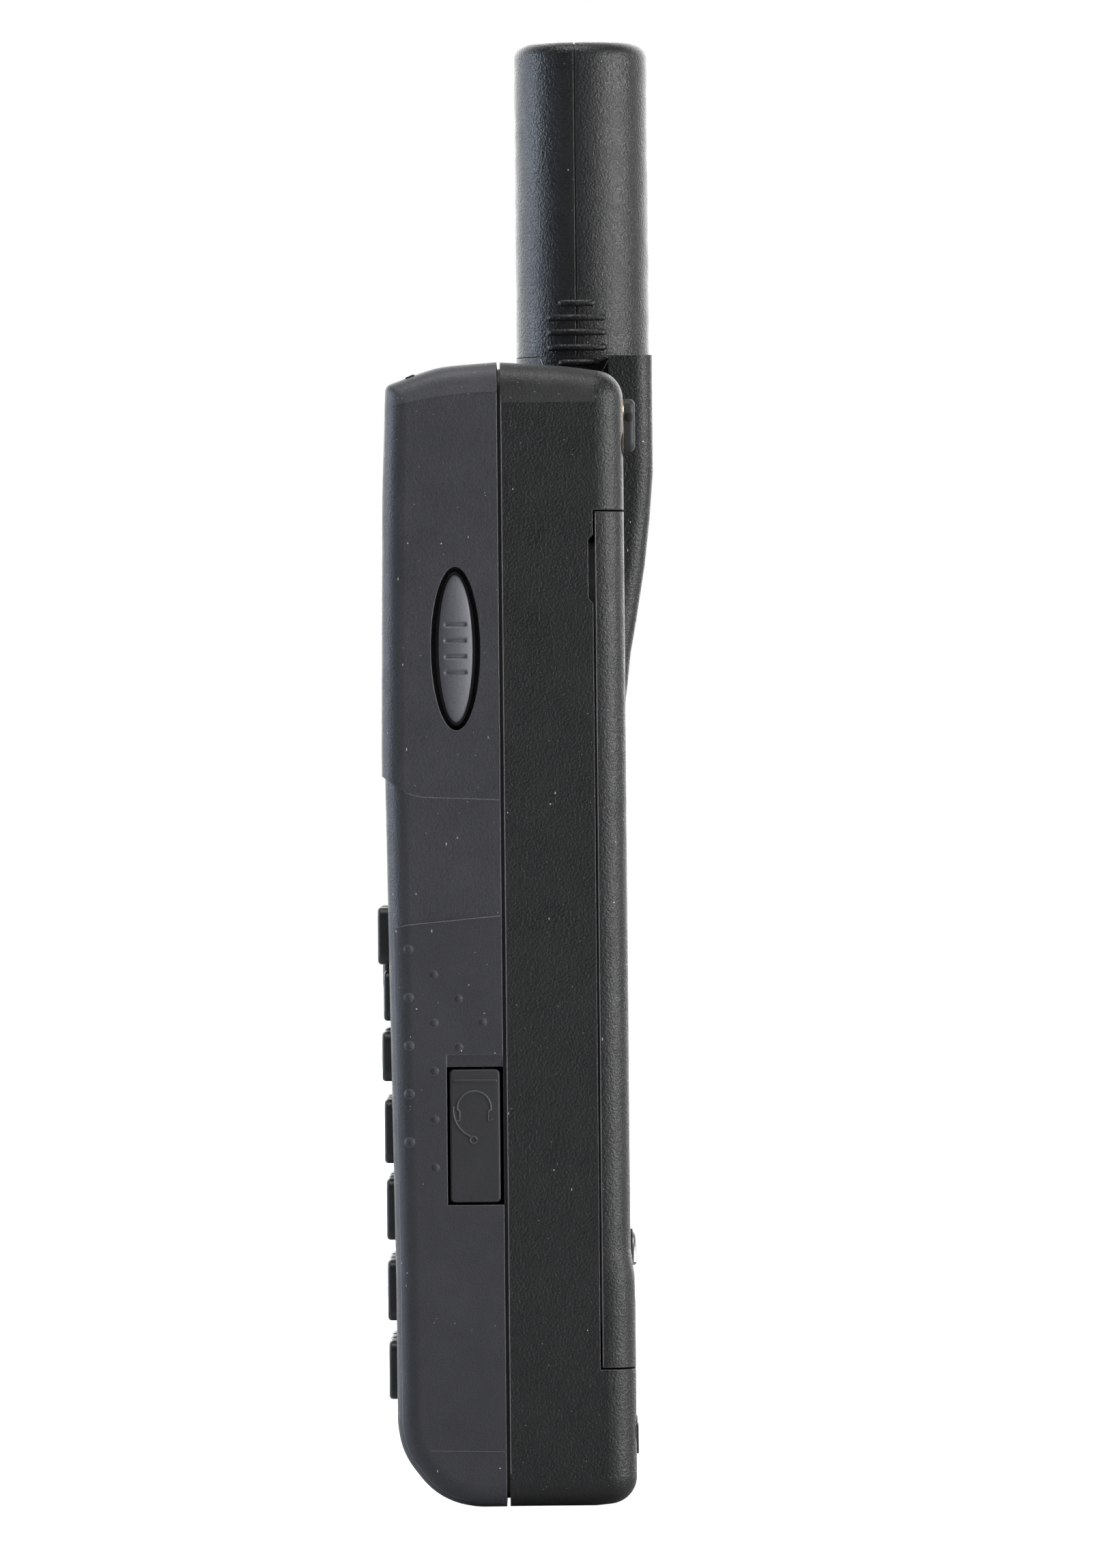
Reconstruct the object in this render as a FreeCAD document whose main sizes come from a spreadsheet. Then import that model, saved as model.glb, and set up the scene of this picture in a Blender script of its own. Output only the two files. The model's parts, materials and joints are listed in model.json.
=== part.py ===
import FreeCAD, Part

import os
import re

import Sketcher
from FreeCAD import Placement, Rotation, Vector

# A handheld satellite phone, standing on its base. X runs across the width with the user's
# right-hand side at +X, -Y is the keypad side, +Y is the back and Z is up. Sizes are in mm.
# The parts are drawn with y = 0 on the seam between the two shells, and each finished part is
# then shifted by seam_y, which puts the origin under the middle of the whole phone.

DIMENSIONS = {
    "seam_y": -2.18, "seam_gap": 0.5, "half_width": 26.6, "grip_half": 26.8,
    "top_at_seam": 169.9, "top_front_z": 166.5, "top_front_y": 16.8, "brow_z": 150.0,
    "brow_y": 17.4, "bulge_z": 112.0, "bulge_y": 17.85, "waist_z": 108.5, "waist_y": 17.35,
    "lower_z": 32.0, "lower_y": 16.4, "chin_z": 12.5, "chin_mid_z": 8.0, "chin_mid_y": 15.7,
    "chin_low_z": 1.0, "chin_low_y": 10.3, "base_front_y": 4.5, "chin_radius": 11.0,
    "front_edge": 3.4, "bezel_seam_z": 104.9, "bezel_mid_z": 105.5, "bezel_mid_y": 13.6,
    "bezel_front_z": 109.4, "grip_seam_z": 87.9, "grip_front_z": 86.2, "grip_corner": 3.5,
    "back_y": 18.45, "heel_y": 19.1, "heel_z": 33.5, "heel_top_z": 38.0, "rear_edge": 4.2,
    "base_back_y": 13.0, "back_low_z": 0.6,
    "cover_left": 2.9, "cover_seam_y": 13.8, "cover_low": 20.3, "cover_high": 147.8,
    "cover_gap": 0.3, "cover_wall": 1.5,
    "pivot_x": -15.5, "pivot_z": 160.1, "arm_half": 11.5, "arm_front": 2.65, "arm_back": 22.8,
    "arm_top": 219.0, "arm_foot": 171.6, "arm_seam": 11.8, "arm_corner": 9.9, "arm_wall": 1.4,
    "dot_r": 1.06, "dot_top": 27.0,
    "bay_low": 99.7, "bay_right": -3.6, "bay_floor": 2.3, "cheek_back": 6.2,
    "cheek_inner": 7.1, "neck_front": 16.9, "neck_inner": 15.2, "neck_back": 23.06,
    "throat_r": 8.4, "throat_z": 168.7, "knuckle_gap": 0.13,
    "neck_right": 2.4, "shaft_r": 3.0, "shaft_clearance": 0.06,
    "rocker_y": -6.7, "rocker_z": 127.4, "rocker_long": 21.8, "rocker_wide": 5.0,
    "recess_long": 24.3, "recess_wide": 7.35,
    "port_front": -8.2, "port_back": -0.75, "port_low": 45.3, "port_high": 65.0,
    "key_floor": -15.5, "key_gap": 0.35, "port_gap": 0.4,
}

doc = FreeCAD.newDocument("SatellitePhone")
sheet = doc.addObject("Spreadsheet::Sheet", "Dims")
for row, (alias, size) in enumerate(DIMENSIONS.items(), 1):
    sheet.set("A%d" % row, alias)
    sheet.set("B%d" % row, str(size))
    sheet.setAlias("B%d" % row, alias)
doc.recompute()

# Places that several parts share, as (x, z).
LOCK = (15, 33.2)
ANTENNA_SOCKET = (12, 160.6)
SPEAKER = (-12, 61.3)
HINGE = ("pivot_x", "pivot_z")
SCREWS = [(-21.5, 11.0), (21.5, 11.0), (-22.4, 94.0), (21.8, 157.5)]
FOOT_X, FOOT_Z = (-12, 12), 9.4

NODES = {}


def linked(text):
    """An expression whose cell names are tied to the sheet."""
    return re.sub(r"[a-z_]+\w*", lambda m: "Dims." + m[0] if m[0] in DIMENSIONS else m[0], str(text))


def number(text):
    """The present value of an expression."""
    return float(sheet.evalExpression(linked(text)))


def bind(item, **sizes):
    for prop, text in sizes.items():
        item.setExpression(prop, linked(text))


def make(kind, name):
    item = doc.addObject(kind, name)
    item.Label = name
    return item


def publish(item, node):
    """Name a finished part and shift it from the seam frame to the phone's own frame."""
    if item.TypeId in ("Part::Box", "Part::Cylinder"):
        item = group(node + "_part", item)
    item.Label = node
    item.setExpression(".Placement.Base.y", linked("seam_y"))
    NODES[node] = item
    return item


# ---- Part primitives ----

def box(name, x, y, z):
    """A block between the two expressions given for each axis."""
    item = make("Part::Box", name)
    for axis, prop, (low, high) in (("x", "Length", x), ("y", "Width", y), ("z", "Height", z)):
        item.setExpression(".Placement.Base." + axis, linked(low))
        item.setExpression(prop, linked("(%s) - (%s)" % (high, low)))
    return item


TURNS = {"X": Rotation(Vector(0, 1, 0), 90), "Y": Rotation(Vector(1, 0, 0), -90), "Z": Rotation()}


def rod(name, axis, at, span, radius):
    """A cylinder along an axis; at gives the two other coordinates in X, Y, Z order."""
    item = make("Part::Cylinder", name)
    item.Placement = Placement(Vector(), TURNS[axis])
    places = list(at)
    places.insert("XYZ".index(axis), span[0])
    for letter, text in zip("xyz", places):
        item.setExpression(".Placement.Base." + letter, linked(text))
    bind(item, Radius=radius, Height="(%s) - (%s)" % (span[1], span[0]))
    return item


def cut(name, base, *tools):
    """Take the tools away from the base, one after the other."""
    for i, tool in enumerate(tools):
        item = make("Part::Cut", "%s_%d" % (name, i))
        item.Base = base
        item.Tool = tool
        base = item
    return base


def fuse(name, *shapes):
    item = make("Part::MultiFuse", name)
    item.Shapes = list(shapes)
    return item


def common(name, one, other):
    item = make("Part::Common", name)
    item.Base = one
    item.Tool = other
    return item


def group(name, *shapes):
    item = make("Part::Compound", name)
    item.Links = list(shapes)
    return item


# ---- PartDesign bodies ----

def drawn(body, plane, name, points, offset="0"):
    """A closed outline of straight lines whose corners are placed by expressions."""
    sketch = body.newObject("Sketcher::SketchObject", name)
    role = plane + "_Plane"
    sketch.AttachmentSupport = ([f for f in body.Origin.OriginFeatures if f.Role == role][0], [""])
    sketch.MapMode = "FlatFace"
    sketch.setExpression(".AttachmentOffset.Base.z", linked(offset))
    spots = [Vector(number(u), number(v), 0) for u, v in points]
    last = len(points)
    for i in range(last):
        sketch.addGeometry(Part.LineSegment(spots[i], spots[(i + 1) % last]))
    for i in range(last):
        sketch.addConstraint(Sketcher.Constraint("Coincident", i, 2, (i + 1) % last, 1))
    for i, texts in enumerate(points):
        for kind, text, value in zip(("DistanceX", "DistanceY"), texts, spots[i]):
            place = sketch.addConstraint(Sketcher.Constraint(kind, -1, 1, i, 1, value))
            sketch.setExpression("Constraints[%d]" % place, linked(text))
    return sketch


def padded(name, plane, points, length, offset="0"):
    body = make("PartDesign::Body", name)
    pad = body.newObject("PartDesign::Pad", name + "_pad")
    pad.Profile = drawn(body, plane, name + "_sketch", points, offset)
    pad.setExpression("Length", linked(length))
    doc.recompute()
    return body


def rounded(body, radius, chosen):
    """Round those edges of the body's present shape that chosen(edge) picks."""
    base = body.Tip
    names = ["Edge%d" % i for i, e in enumerate(base.Shape.Edges, 1) if chosen(e)]
    if not names:
        raise SystemExit("no edge to round on " + body.Name)
    fillet = body.newObject("PartDesign::Fillet", body.Name + "_round%d" % len(body.Group))
    fillet.Base = (base, names)
    fillet.setExpression("Radius", linked(radius))
    doc.recompute()
    if fillet.Shape.isNull() or "Invalid" in fillet.State:
        raise SystemExit("the rounding failed on " + fillet.Name)
    return body


def runs_along(axis):
    """Picks straight edges along an axis."""
    def chosen(edge):
        room = (edge.BoundBox.XLength, edge.BoundBox.YLength, edge.BoundBox.ZLength)
        return all((room[i] > 1e-4) == (i == "XYZ".index(axis)) for i in range(3))
    return chosen


def at_level(axis, level):
    """Picks edges that lie in the plane where the axis has the level."""
    def chosen(edge):
        low = getattr(edge.BoundBox, axis + "Min")
        high = getattr(edge.BoundBox, axis + "Max")
        return abs(low - level) < 1e-3 and abs(high - level) < 1e-3
    return chosen


def slab(name, axis, first, second, span, corner, rim=None, rim_at=None):
    """A plate whose outline has rounded corners. axis is its thickness direction, first and
    second are its two outline spans in X, Y, Z order, and rim rounds the face at rim_at."""
    plane = {"X": "YZ", "Y": "XZ", "Z": "XY"}[axis]
    points = [(first[0], second[0]), (first[1], second[0]),
              (first[1], second[1]), (first[0], second[1])]
    # The XZ plane faces -Y, so an outline drawn on it is pushed out from its high side.
    offset = "-(%s)" % span[1] if axis == "Y" else span[0]
    body = padded(name, plane, points, "(%s) - (%s)" % (span[1], span[0]), offset)
    if corner:
        rounded(body, corner, runs_along(axis))
    if rim:
        rounded(body, rim, at_level(axis, number(rim_at)))
    return body


# ---- the two shells ----

def side_solid(name, half, profile):
    """A side-view outline as wide as the phone."""
    return padded(name, "YZ", profile, "2 * (%s)" % half, "-(%s)" % half)


def near(edge, y, z):
    box_ = edge.BoundBox
    return box_.XLength > 40 and abs(box_.YMin - y) < 0.1 and abs(box_.ZMin - z) < 0.1


def on_side(half):
    """Picks the edges round the two side faces, apart from those in the seam."""
    def chosen(edge):
        box_ = edge.BoundBox
        flat = box_.XLength < 1e-3 and abs(abs(box_.XMin) - half) < 1e-3
        seam = number("seam_gap") / 2 + 0.01
        return flat and not (box_.YMin > -seam and box_.YMax < seam)
    return chosen


def lower_front(name, half):
    profile = [("-seam_gap / 2", "0"), ("-base_front_y", "0"), ("-chin_low_y", "chin_low_z"),
               ("-chin_mid_y", "chin_mid_z"), ("-lower_y", "chin_z"), ("-lower_y", "lower_z"),
               ("-waist_y", "waist_z"), ("-seam_gap / 2", "waist_z")]
    body = side_solid(name, half, profile)
    corners = [("base_front_y", "0"), ("chin_low_y", "chin_low_z"),
               ("chin_mid_y", "chin_mid_z"), ("lower_y", "chin_z")]
    spots = [(-number(y), number(z)) for y, z in corners]
    rounded(body, "chin_radius", lambda e: any(near(e, y, z) for y, z in spots))
    top = number("waist_z")
    side = on_side(number(half))
    return rounded(body, "front_edge", lambda e: side(e) and e.BoundBox.ZMin < top - 0.01)


def upper_front(name, half):
    profile = [("-seam_gap / 2", "80"), ("-bulge_y", "80"), ("-bulge_y", "bulge_z"),
               ("-brow_y", "brow_z"), ("-top_front_y", "top_front_z"), ("-9", "169.3"),
               ("-seam_gap / 2", "top_at_seam")]
    body = side_solid(name, half, profile)
    rounded(body, "20", lambda e: near(e, -9, 169.3) or near(e, -number("bulge_y"), 112.0))
    side = on_side(number(half))
    rounded(body, "front_edge", lambda e: side(e) and e.BoundBox.ZMax > 80.01)
    front = number("top_front_y")
    return rounded(body, "1.2", lambda e: near(e, -front, number("top_front_z")))


def above_line(name, seam_z, mid_y, mid_z, front_z, corner):
    """The region above a line that runs down the side faces towards the seam."""
    points = [("1", seam_z), ("-(%s)" % mid_y, mid_z), ("-19", front_z), ("-19", "180"), ("1", "180")]
    body = padded(name, "YZ", points, "60", "-30")
    return rounded(body, corner, lambda e: near(e, -number(mid_y), number(mid_z)))


def below_line(name, seam_z, mid_y, mid_z, corner, side):
    """The region of one side face that the soft grip covers."""
    points = [("1", "-1"), ("1", seam_z), ("-(%s)" % mid_y, mid_z), ("-(%s)" % mid_y, "-1")]
    low = "grip_half - 1.3" if side > 0 else "-0.7 - grip_half"
    body = padded(name, "YZ", points, "2", low)

    def corner_edge(e):
        room = e.BoundBox
        return abs(room.YMin + number(mid_y)) < 0.1 and abs(room.ZMin - number(mid_z)) < 0.1 \
            and room.XLength > 1
    return rounded(body, corner, corner_edge)


KEY_ROWS = [("key_1", "key_2", "key_3", 51.0, 60.5, 17.95),
            ("key_4", "key_5", "key_6", 39.6, 48.7, 17.75),
            ("key_7", "key_8", "key_9", 27.6, 36.6, 17.7),
            ("key_star", "key_0", "key_hash", 15.9, 24.6, 17.6)]
KEYS = [("nav_key", -9.2, 9.2, 72.2, 88.6, 18.0), ("select_key", -3.6, 3.6, 76.6, 83.8, 18.2),
        ("soft_key_left", -20.6, -11.0, 80.6, 89.1, 18.7),
        ("soft_key_right", 11.0, 20.6, 80.6, 89.1, 18.7),
        ("call_key", -20.6, -8.2, 63.2, 70.6, 18.2), ("end_key", 8.2, 20.6, 63.2, 70.6, 18.2),
        ("menu_key", -20.6, -11.0, 72.2, 79.6, 17.9), ("back_key", 11.0, 20.6, 72.2, 79.6, 17.9)]
for left, middle, right, low, high, face in KEY_ROWS:
    for node, centre in ((left, -14.2), (middle, 0.0), (right, 14.2)):
        KEYS.append((node, centre - 6.3, centre + 6.3, low, high, face))


def key_openings():
    """One close-fitting hole through the front wall for every key; select sits inside nav."""
    tools = []
    for node, left, right, low, high, face in KEYS:
        if node != "select_key":
            gap = number("key_gap")
            tools.append(box(node + "_hole", (left - gap, right + gap), ("-20", "-12"),
                             (low - gap, high + gap)))
    return group("key_openings", *tools)


def rocker_ellipse(name, long, wide, low, high, grow="0"):
    """An upright ellipse, drawn as a scaled disc on the +X side."""
    item = make("Part::Feature", name)
    disc = Part.makeCylinder(1.0, high - low, Vector(0, 0, 0), Vector(1, 0, 0))
    matrix = FreeCAD.Matrix()
    matrix.scale(1.0, (number(wide) / 2 + number(grow)), (number(long) / 2 + number(grow)))
    item.Shape = disc.transformGeometry(matrix)
    item.Placement = Placement(Vector(low, number("rocker_y"), number("rocker_z")), Rotation())
    return item


bezel_zone = above_line("bezel_zone", "bezel_seam_z", "bezel_mid_y", "bezel_mid_z", "bezel_front_z", "8")
lower_form = lower_front("lower_form", "half_width")
upper_form = upper_front("upper_form", "half_width")

front_hollow = fuse("front_hollow",
                    box("front_room", (-24.6, 24.6), (-14.7, 1), (13, 166)),
                    box("chin_room", (-24.6, 24.6), (-8.8, 1), (4, 14)))
front_posts = fuse("front_posts", *[rod("post%d" % i, "Y", (x, z), (-14.9, "-seam_gap / 2"), 2.7)
                                    for i, (x, z) in enumerate(SCREWS[:3])])
front_room = cut("front_room_posts", front_hollow, front_posts)

grips = {}
zones = {}
for side, word in ((1, "right"), (-1, "left")):
    zone = below_line("grip_zone_" + word, "grip_seam_z", "17.5", "grip_front_z", "grip_corner", side)
    grip_form = lower_front("grip_form_" + word, "grip_half")
    zones[word] = zone
    grips[word] = common("grip_raw_" + word, grip_form, zone)

headset_hole = box("headset_hole", (22, 28), ("port_front - port_gap", 1),
                   ("port_low - port_gap", "port_high + port_gap"))
# A shallow dip above the headset cover, for a fingernail.
headset_scallop = rod("headset_scallop", "Y", ("grip_half + 2.4", "port_high + port_gap"),
                      ("port_front - port_gap", 1), 3.0)
grip_skin = cut("grip_skin_right", grips["right"], headset_hole, headset_scallop)

# Columns of raised dots on the grips: depth from the seam, height of the top dot, how many.
DOT_COLUMNS = [(-14.0, 82.9, 5), (-10.4, 79.1, 5), (-6.75, 75.5, 2), (-3.2, 72.0, 1)]
DOT_PITCH = 7.15


def dots(word, side):
    """Low domes that stand out of one grip."""
    balls = []
    for y, top, count in DOT_COLUMNS:
        for i in range(count):
            ball = make("Part::Sphere", "dot_%s_%d" % (word, len(balls)))
            bind(ball, Radius="dot_r")
            ball.setExpression(".Placement.Base.x", linked("%d * (dot_top - dot_r)" % side))
            ball.Placement.Base.y = y
            ball.Placement.Base.z = top - i * DOT_PITCH
            balls.append(ball)
    outer = ("grip_half - 0.6", 28) if side > 0 else (-28, "0.6 - grip_half")
    return common("dots_" + word, group("balls_" + word, *balls),
                  box("dot_zone_" + word, outer, (-20, 0), (40, 90)))


publish(fuse("grip_full_right", grip_skin, dots("right", 1)), "grip_panel_right")
publish(fuse("grip_full_left", grips["left"], dots("left", -1)), "grip_panel_left")

pilot_holes = group("pilot_holes", *[rod("pilot%d" % i, "Y", (x, z), (-9, 1), 1.2)
                                     for i, (x, z) in enumerate(SCREWS)])
mic_hole = rod("mic_hole", "Y", (0, 12.2), (-18, -12), 0.8)
front_shell = cut("front_shell_cut", lower_form, bezel_zone, front_room, zones["right"],
                  zones["left"], headset_hole, mic_hole, key_openings(), pilot_holes)
publish(front_shell, "front_shell")

upper_hollow = fuse("upper_hollow",
                    box("upper_room", (-24.6, 24.6), (-15.6, 1), (90, 165)),
                    box("brow_room", (-24.6, 24.6), (-8, 1), (160, 168)))
upper_post = rod("upper_post", "Y", SCREWS[3], (-15.8, "-seam_gap / 2"), 2.7)
rocker_boss = box("rocker_boss", (22.4, 25), (-11.2, -2.2), (114, 141))
upper_room = cut("upper_room_post", upper_hollow, upper_post, rocker_boss)
window_hole = slab("window_hole", "Y", (-17.4, 17.4), (112.2, 152.6), (-20, -14), 2.2)
window_seat = slab("window_seat", "Y", (-20.2, 20.2), (110.2, 156.4), (-20, -16.45), 3)
ear_slot = slab("ear_slot", "Y", (-6, 6), (159.6, 161.2), (-20, -14), 0.7)
recess = rocker_ellipse("rocker_recess", "recess_long", "recess_wide", 23.2, 28.0)
data_hole = box("data_hole", (-28, -22), ("port_front - port_gap", 1), (117.6, 134.4))
insert_seat = box("insert_seat", (-13, 13), (-14.4, -6.0), (167.0, 172))
bezel_part = common("bezel_form", upper_form, bezel_zone)
front_bezel = cut("front_bezel_cut", bezel_part, upper_room, window_hole, window_seat, ear_slot,
                  recess, data_hole, insert_seat, pilot_holes)
publish(front_bezel, "front_bezel")
insert_block = box("insert_block", (-12.8, 12.8), (-14.2, -6.2), (167.0, 172))
raised_form = upper_front("raised_form", "half_width")
publish(common("insert_raw", insert_block, raised_form), "top_insert")


def rear_form(name):
    """The outer solid of the back half: a flat back with a thicker heel at the bottom."""
    profile = [("seam_gap / 2", "0"), ("base_back_y", "0"), ("heel_y", "back_low_z"),
               ("heel_y", "heel_z"), ("back_y", "heel_top_z"), ("back_y", "168.0"),
               ("10", "169.2"), ("seam_gap / 2", "top_at_seam")]
    body = side_solid(name, "half_width", profile)
    side = on_side(number("half_width"))
    ends = [(number("heel_y"), number("back_low_z")), (number("back_y"), 168.0)]
    return rounded(body, "rear_edge", lambda e: side(e) or any(near(e, y, z) for y, z in ends))


def arm_slab(name, span, z):
    """A block as wide as the antenna, over a range of depth and height."""
    return box(name, ("pivot_x - arm_half", "pivot_x + arm_half"), span, z)


def cheek(name, outer, flat, inner):
    """A hinge cheek from its outer depth to its flat depth: square on the inner side, round on
    the outer side. A cone about the pivot and a sloping step carry it on to the inner depth."""
    span = sorted((outer, flat), key=number)
    top = "arm_foot - 0.1"
    square = box(name + "_square", ("pivot_x", "pivot_x + arm_half"), span,
                 ("pivot_z - arm_half + 0.1", top))
    disc = rod(name + "_disc", "Y", HINGE, span, "arm_half - 0.1")
    cone = make("Part::Cone", name + "_cone")
    cone.Placement = Placement(Vector(), TURNS["Y"])
    low, high = sorted((flat, inner), key=number)
    wide, slim = "arm_half - 0.1", "throat_r"
    bind(cone, Radius1=wide if low == flat else slim, Radius2=slim if low == flat else wide,
         Height="(%s) - (%s)" % (high, low))
    for letter, text in zip("xyz", ("pivot_x", low, "pivot_z")):
        cone.setExpression(".Placement.Base." + letter, linked(text))
    slope = [(flat, top), (inner, "throat_z"), (inner, "pivot_z"), (flat, "pivot_z")]
    step = padded(name + "_step", "YZ", slope, "arm_half", "pivot_x")
    return fuse(name, square, disc, cone, step)


rear_solid = rear_form("rear_solid")
antenna_bay = box("antenna_bay", (-30, "bay_right"), ("bay_floor", 30), ("bay_low", 175))
# The front cheek is rounded like the antenna where it stands out of the shell.
crown_column = slab("crown_column", "Z", ("pivot_x - arm_half", "pivot_x + arm_half"),
                    ("arm_front", "arm_back"), ("top_at_seam", 172), "arm_corner")
crown_trim = cut("crown_trim", arm_slab("crown_zone", (0, "arm_seam"), ("top_at_seam + 0.1", 172)),
                 crown_column)
front_cheek = cut("front_cheek_round", cheek("front_cheek", "bay_floor - 0.5", "cheek_back", "cheek_inner"),
                  crown_trim)
neck_seat = box("neck_seat", (-5, "neck_right"), (16.5, 30), (118.6, 175))
notch_profile = [("cover_seam_y + 1", "133.9"), ("cover_seam_y", "133.9"), ("cover_seam_y - 0.7", "134.7"),
                 ("cover_seam_y - 0.7", "143.3"), ("cover_seam_y", "144.1"),
                 ("cover_seam_y + 1", "144.1")]
cover_notch = padded("cover_notch", "YZ", notch_profile, "6", "24")
cover_zone = box("cover_zone", ("cover_left", 30), ("cover_seam_y", 30), ("cover_low", "cover_high"))
battery_bay = box("battery_bay", (4.6, 24.8), (6, 16), (24, 144))
inner_bay = box("inner_bay", (4.6, 24.6), (0, 4.4), (20, 147))
left_room = box("left_room", (-24.8, 1.0), (0, 16.8), (20, 99))
base_room = box("base_room", (-17.5, 17.5), (0, 16.6), (3, 18.6))
base_link = box("base_link", (-16, 0), (0.1, 16), (16, 22))
top_room = box("top_room", (-1.4, 17.6), (0, 16.2), (149.6, 166))
left_post = rod("left_post", "Y", SCREWS[2], (-1, 18), 3)
left_hollow = cut("left_hollow", left_room, left_post)
connector_hole = rod("connector_hole", "Y", ANTENNA_SOCKET, (12, 20), 2.7)
cap_seat = slab("cap_seat", "Y", (7.6, 16.4), (156.3, 164.9), (17.4, 22), 1.2)
speaker_slots = group("speaker_slots", *[box("speaker_slot%d" % i, (-17.5, -6.5), (15, 21),
                                             (54.2 + 3.2 * i, 55.6 + 3.2 * i)) for i in range(5)])
screw_holes = group("screw_holes", *[rod("screw_hole%d" % i, "Y", (x, z), (-1, 30), 1.25)
                                     for i, (x, z) in enumerate(SCREWS)])
screw_heads = group("screw_heads", *[rod("screw_head_hole%d" % i, "Y", (x, z), (16.9, 30), 2.3)
                                     for i, (x, z) in enumerate(SCREWS)])
shaft_hole = rod("shaft_hole", "Y", HINGE, (3.4, 30), "shaft_r")
foot_holes = group("foot_holes", *[rod("foot_hole%d" % i, "Y", (x, FOOT_Z), (18.6, 30), 2.35)
                                   for i, x in enumerate(FOOT_X)])
lock_slot = box("lock_slot", (11, 19), (12, 14.5), (21.2, 24.5))
rear_cut = cut("rear_shell_cut", rear_solid, antenna_bay, neck_seat, cover_zone, cover_notch,
               battery_bay, inner_bay, left_hollow, base_room, base_link, top_room, connector_hole,
               cap_seat, speaker_slots, screw_holes, screw_heads, foot_holes, lock_slot)
publish(cut("rear_shell_bored", fuse("rear_shell_cheek", rear_cut, front_cheek), shaft_hole),
        "rear_shell")

# The neck: the rear cheek and a ridge that runs down the back and dies out.
ridge_profile = [("14", "118.8"), ("back_y + 0.1", "118.8"), ("19.5", "127"), ("20.4", "132"),
                 ("21.7", "140"), ("22.5", "147"), ("neck_back", "154"),
                 ("neck_back", "arm_foot - 0.1"), ("14", "arm_foot - 0.1")]
ridge = padded("ridge", "YZ", ridge_profile, "neck_right - bay_right", "bay_right")
doc.recompute()
rounded(ridge, "2.6", lambda e: abs(e.BoundBox.XMin - number("neck_right")) < 0.01
        and e.BoundBox.XLength < 0.01 and e.BoundBox.YMin > 18.6)
rear_cheek = cheek("rear_cheek", "neck_back", "neck_front", "neck_inner")
cheek_bridge = box("cheek_bridge", (-6, -3), ("neck_front", "neck_back"),
                   ("pivot_z - arm_half + 0.1", "arm_foot - 0.1"))
neck_hole = rod("neck_hole", "Y", HINGE, (15, 20.5), "shaft_r")
neck_limit = padded("neck_limit", "YZ", ridge_profile, "2 * half_width", "-half_width")
seated = common("ridge_seated", ridge, box("ridge_zone", (-6, 6), (16.5, 30), (118, 175)))
neck_raw = common("neck_raw", fuse("neck_parts", seated, rear_cheek, cheek_bridge), neck_limit)
publish(cut("neck_cut", neck_raw, neck_hole), "hinge_cover")

# ---- the folding antenna ----

publish(rod("shaft", "Y", HINGE, (3.5, 20.4), "shaft_r - 0.02"), "hinge_shaft")


def arm_outline(name, inset, low, high):
    body = slab(name, "Z", ("pivot_x - arm_half + %s" % inset, "pivot_x + arm_half - %s" % inset),
                ("arm_front + %s" % inset, "arm_back - %s" % inset), (low, high),
                "arm_corner - %s" % inset, None if inset else "2.2", high)
    return body


arm_outer = arm_outline("arm_outer", 0, "arm_foot", "arm_top")
arm_inner = arm_outline("arm_inner", "arm_wall", "arm_foot + 9", "arm_top - 1.6")
arm_tube = cut("arm_tube", arm_outer, arm_inner)
# The halves meet edge to edge, with a fine groove all round where they meet.
seam_plate = arm_slab("seam_plate", ("arm_seam - 0.13", "arm_seam + 0.13"), (170, 221))
seam_core = box("seam_core", ("pivot_x - arm_half + 0.35", "pivot_x + arm_half - 0.35"), (11, 12.6),
                (169, "arm_top - 0.35"))
arm_grooved = cut("arm_grooved", arm_tube, cut("seam_ring", seam_plate, seam_core))
front_zone = arm_slab("front_zone", (0, "arm_seam"), (170, 221))
rear_zone = arm_slab("rear_zone", ("arm_seam", 25), (170, 221))
publish(common("arm_front_half", arm_grooved, front_zone), "antenna_front_half")
publish(common("arm_rear_half", arm_grooved, rear_zone), "antenna_rear_half")

knuckle_disc = rod("knuckle_disc", "Y", HINGE,
                   ("cheek_inner + knuckle_gap", "neck_inner - knuckle_gap"), "arm_half - 0.3")
throat_profile = [("cheek_inner + knuckle_gap", "pivot_z"), ("cheek_inner + knuckle_gap", "throat_z"),
                  ("cheek_back + knuckle_gap", "arm_foot"), ("neck_front - knuckle_gap", "arm_foot"),
                  ("neck_inner - knuckle_gap", "throat_z"), ("neck_inner - knuckle_gap", "pivot_z")]
# The throat has the same rounded outline as the tube above it.
throat_column = slab("throat_column", "Z", ("pivot_x - arm_half + 0.05", "pivot_x + arm_half - 0.05"),
                     ("arm_front + 0.05", "arm_back - 0.05"), ("pivot_z - 1", "arm_foot"),
                     "arm_corner - 0.1")
knuckle_neck = common("knuckle_neck", throat_column,
                      padded("throat_block", "YZ", throat_profile, "2 * arm_half", "pivot_x - arm_half"))
knuckle_bore = rod("knuckle_bore", "Y", HINGE, (0, 30), "shaft_r + shaft_clearance")
publish(cut("knuckle_cut", fuse("knuckle_raw", knuckle_disc, knuckle_neck), knuckle_bore),
        "antenna_knuckle")
core_tube = rod("core_tube", "Z", ("pivot_x", "arm_seam"), ("arm_foot + 9", "arm_top - 4"), 7.2)
core_bore = rod("core_bore", "Z", ("pivot_x", "arm_seam"), ("arm_foot + 8", "arm_top - 3"), 6.2)
publish(cut("core_cut", core_tube, core_bore), "antenna_element")

# ---- the battery cover and its lock ----

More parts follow.
